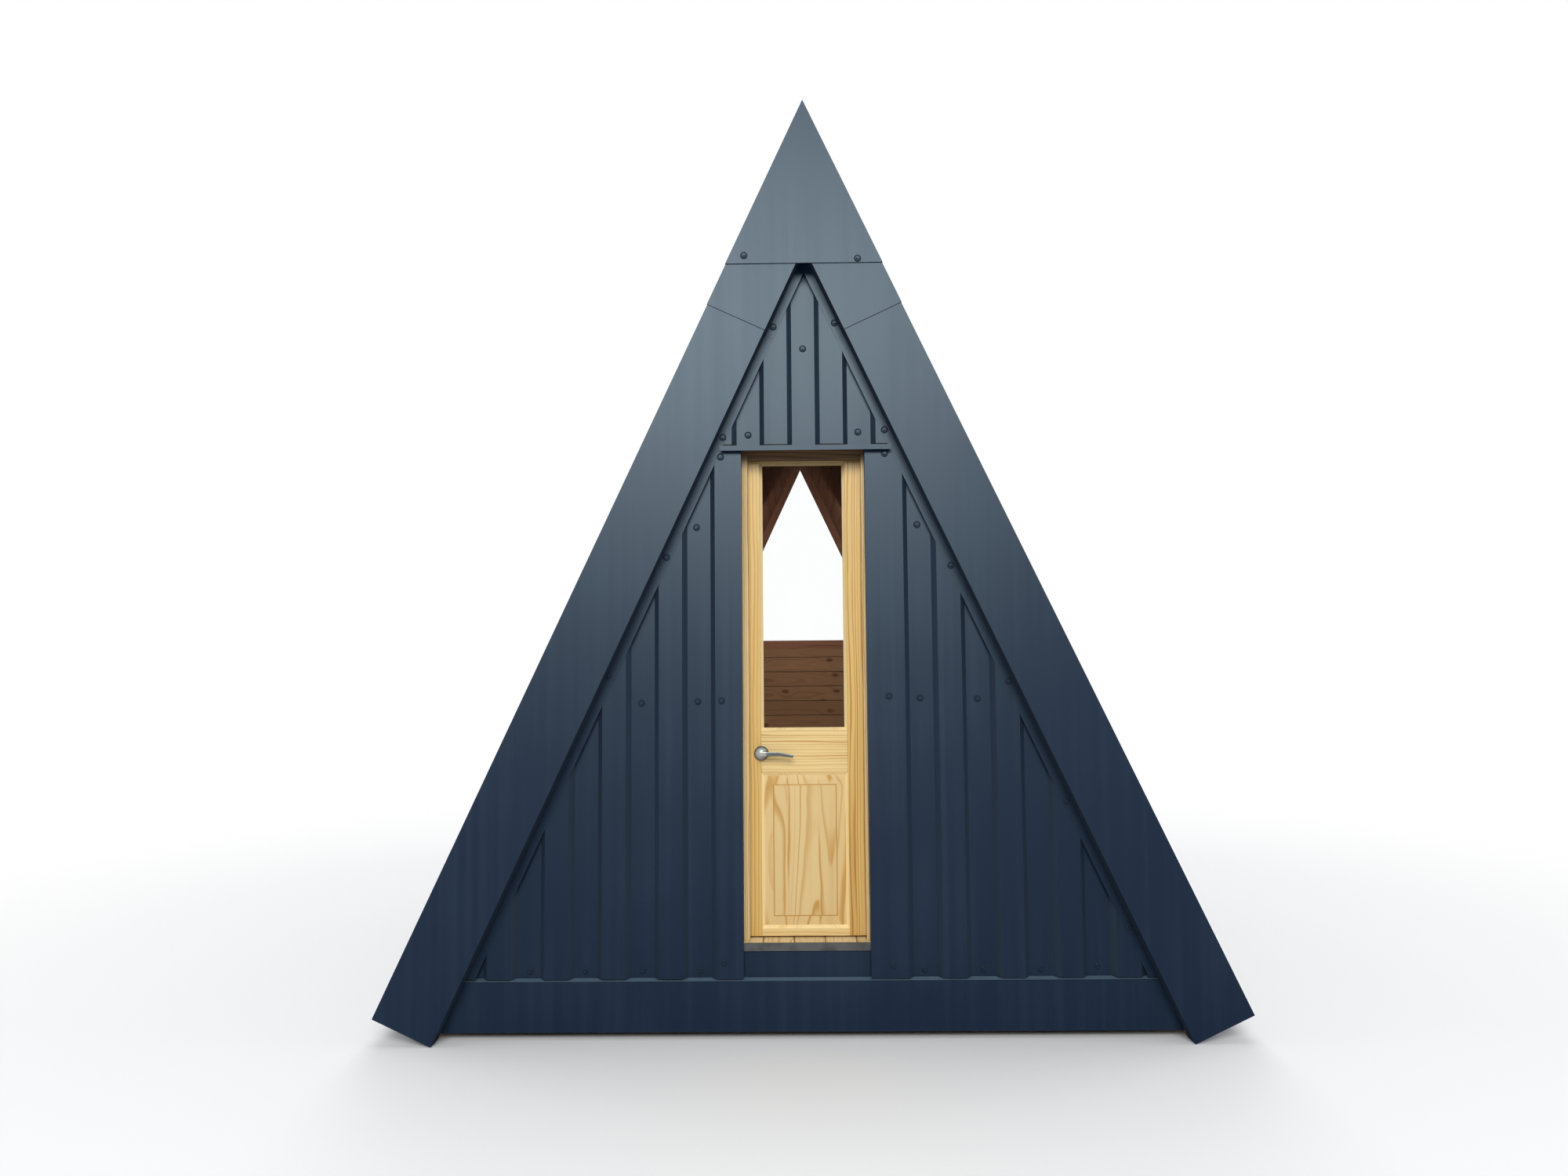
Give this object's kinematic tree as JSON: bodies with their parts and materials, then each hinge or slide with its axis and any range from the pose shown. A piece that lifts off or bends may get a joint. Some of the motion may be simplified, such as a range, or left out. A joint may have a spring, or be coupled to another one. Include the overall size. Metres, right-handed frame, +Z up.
{
  "type": "a-frame cabin",
  "caption": "Small A-frame cabin with ribbed steel roof slopes down to the ground, a sheeted front gable, a narrow half-glazed pine door and a triangular back window.",
  "frame": {"origin": "on the ground at the middle of the plan", "axes": "X across the gable, the front gable with the door faces -Y, +Z up"},
  "size_m": [2.9956, 3.86, 3.3123],
  "materials": {
    "coated_steel": "satin slate-blue coating on ribbed and folded steel sheet",
    "pine": "clear-varnished knotty pine",
    "brown_pine": "brown-stained matched boards",
    "dark_pine": "dark-stained matched boards",
    "timber": "sawn framing timber",
    "glass": "clear glass",
    "satin_steel": "satin steel",
    "aluminium": "dull mill-finish strip"
  },
  "bodies": {
    "cabin": {"roof_sheet_left": "coated_steel", "roof_sheet_right": "coated_steel", "ridge_cap": "coated_steel", "eaves_flashings": "coated_steel", "front_cladding_left": "coated_steel", "front_cladding_right": "coated_steel", "front_cladding_top": "coated_steel", "front_base_flashing": "coated_steel", "front_barges": "coated_steel", "front_barge_tops": "coated_steel", "front_apex_cap": "coated_steel", "door_kick_panel": "coated_steel", "door_side_flashings": "coated_steel", "door_drip_flashing": "coated_steel", "back_cladding": "coated_steel", "back_base_flashing": "coated_steel", "back_window_flashing": "coated_steel", "back_barges": "coated_steel", "back_barge_tops": "coated_steel", "back_apex_cap": "coated_steel", "floor_boards": "pine", "door_jambs": "pine", "door_head": "pine", "front_lining": "brown_pine", "back_lining": "brown_pine", "roof_lining_left": "dark_pine", "roof_lining_right": "dark_pine", "back_window_frame": "dark_pine", "floor_bearers": "timber", "floor_joists": "timber", "roof_left": "timber", "roof_right": "timber", "front_wall_left": "timber", "front_wall_right": "timber", "front_wall_top": "timber", "back_wall": "timber", "back_window_glass": "glass", "hinge_frame_leaves": "satin_steel", "door_sill": "aluminium"},
    "door": {"door_stiles": "pine", "door_rails": "pine", "door_panel": "pine", "door_glass": "glass", "door_beads": "pine", "door_roses": "satin_steel", "hinge_door_leaves": "satin_steel"},
    "handle": {"door_lever": "satin_steel"}
  },
  "joints": [
    {"name": "door_swing", "type": "hinge", "parent": "cabin", "child": "door", "pos_m": [0.213, -1.721, 1.1845], "axis": [0, 0, -1], "range_deg": [0, 95]},
    {"name": "handle_turn", "type": "hinge", "parent": "door", "child": "handle", "pos_m": [-0.1675, -1.747, 0.971], "axis": [0, 1, 0], "range_deg": [0, 40], "stiffness_Nm_per_rad": 1.5, "springref_deg": -20.05}
  ]
}
